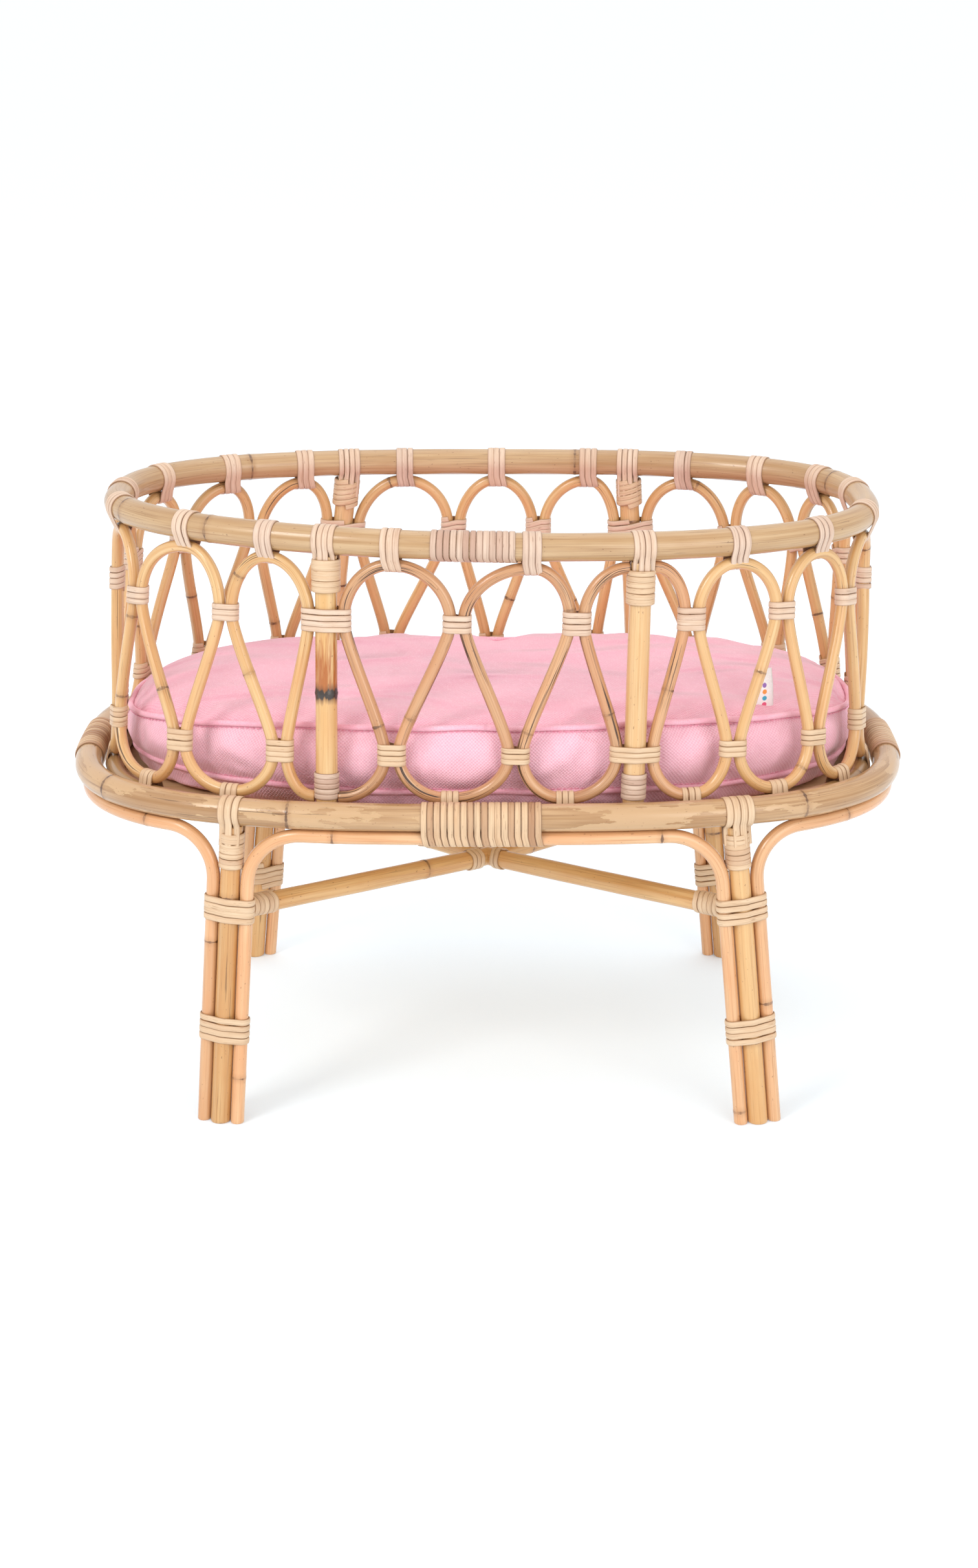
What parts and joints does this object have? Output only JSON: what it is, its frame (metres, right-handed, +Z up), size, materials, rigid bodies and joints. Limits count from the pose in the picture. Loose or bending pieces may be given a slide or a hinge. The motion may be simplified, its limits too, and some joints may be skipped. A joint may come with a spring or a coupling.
{
  "type": "doll's bassinet on stand",
  "caption": "Oval rattan doll's bassinet with looped cane sides, a loose pink canvas mattress and a four-legged stand braced by crossed stretchers.",
  "frame": {"origin": "on the floor, below the middle of the stand ring", "axes": "+X along the bassinet's length, -Y towards the viewer's long side, +Z up"},
  "size_m": [0.5024, 0.3018, 0.3545],
  "materials": {
    "rim_wood": "thin satin lacquer over straight-grained rattan pole",
    "ring_wood": "thin satin lacquer over rattan pole with patches of skin left on",
    "post_wood": "thin satin lacquer over peeled rattan pole with nodes",
    "cane": "satin peeled cane",
    "pink_cane": "satin peeled cane, pinker, with brown streaks",
    "leg_wood": "thin satin lacquer over peeled rattan pole with nodes",
    "bracket_cane": "satin peeled cane",
    "peel": "satin rattan peel, wrapped edge to edge",
    "floor_board": "matt plain board",
    "canvas": "matt plain-weave cotton canvas",
    "foam": "matt foam",
    "label_cloth": "matt woven tape"
  },
  "bodies": {
    "stand": {"base_ring": "ring_wood", "bracket_back": "bracket_cane", "bracket_front": "bracket_cane", "bracket_left": "bracket_cane", "bracket_right": "bracket_cane", "collar_back_left": "peel", "collar_back_right": "peel", "collar_front_left": "peel", "collar_front_right": "peel", "crossing_tie": "peel", "floor_panel": "floor_board", "leg_back_left": "leg_wood", "leg_back_right": "leg_wood", "leg_front_left": "leg_wood", "leg_front_right": "leg_wood", "loop_01": "cane", "loop_02": "cane", "loop_03": "pink_cane", "loop_04": "pink_cane", "loop_05_left": "pink_cane", "loop_05_right": "pink_cane", "loop_06": "cane", "loop_07": "cane", "loop_08": "cane", "loop_09": "cane", "loop_10": "cane", "loop_11": "cane", "loop_12": "cane", "loop_13": "cane", "loop_14": "cane", "loop_15": "cane", "loop_16": "cane", "loop_17": "cane", "loop_18": "cane", "loop_19": "cane", "loop_20": "cane", "post_back_left": "post_wood", "post_back_right": "post_wood", "post_front_left": "post_wood", "post_front_right": "post_wood", "rim_splice_wrap": "peel", "ring_wrap_back": "peel", "ring_wrap_front": "peel", "ring_wrap_left": "peel", "ring_wrap_right": "peel", "stand_ring": "ring_wood", "stretcher_a": "leg_wood", "stretcher_b": "leg_wood", "tie_lower_back_left": "peel", "tie_lower_back_right": "peel", "tie_lower_front_left": "peel", "tie_lower_front_right": "peel", "tie_upper_back_left": "peel", "tie_upper_back_right": "peel", "tie_upper_front_left": "peel", "tie_upper_front_right": "peel", "top_rim": "rim_wood"},
    "mattress": {"mattress_cover": "canvas", "mattress_core": "foam", "side_label": "label_cloth"}
  },
  "joints": [
    {"name": "mattress_lift", "type": "slide", "parent": "stand", "child": "mattress", "axis": [0, 0, 1], "range_m": [0, 0.18]}
  ]
}
